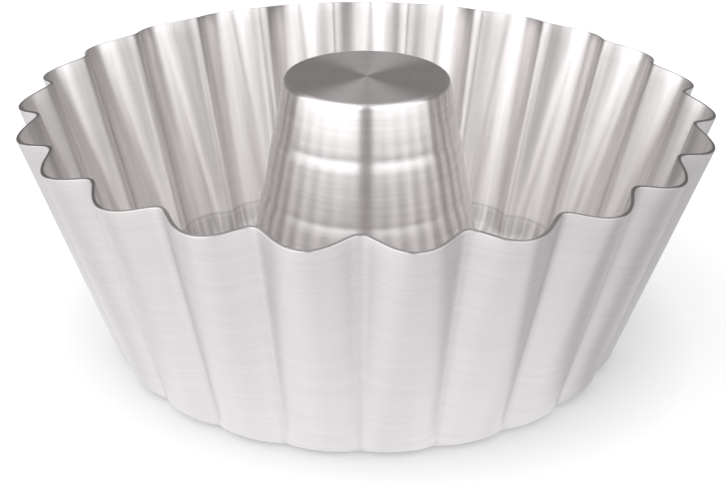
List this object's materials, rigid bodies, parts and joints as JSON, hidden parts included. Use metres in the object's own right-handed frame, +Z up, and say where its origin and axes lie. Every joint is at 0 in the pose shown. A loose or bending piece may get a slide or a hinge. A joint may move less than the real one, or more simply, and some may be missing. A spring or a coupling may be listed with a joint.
{
  "type": "baba mould",
  "caption": "Round fluted baba mould of pressed aluminium: a flared, scalloped wall on a flat ring base, with a stepped, closed-topped chimney in the middle that shapes the cake's hole.",
  "frame": {"origin": "on the chimney's axis, in the plane that the mould stands on", "axes": "+Z up along the axis of the chimney, -Y towards the ridge that faces the viewer in the picture"},
  "size_m": [0.2394, 0.2389, 0.0957],
  "materials": {
    "shell": "satin outside with fine brushing round the wall, polished inside",
    "chimney": "polished with fine brushing round it, top brushed in circles"
  },
  "bodies": {
    "root": {"fluted_shell": "shell", "chimney": "chimney"}
  },
  "joints": []
}
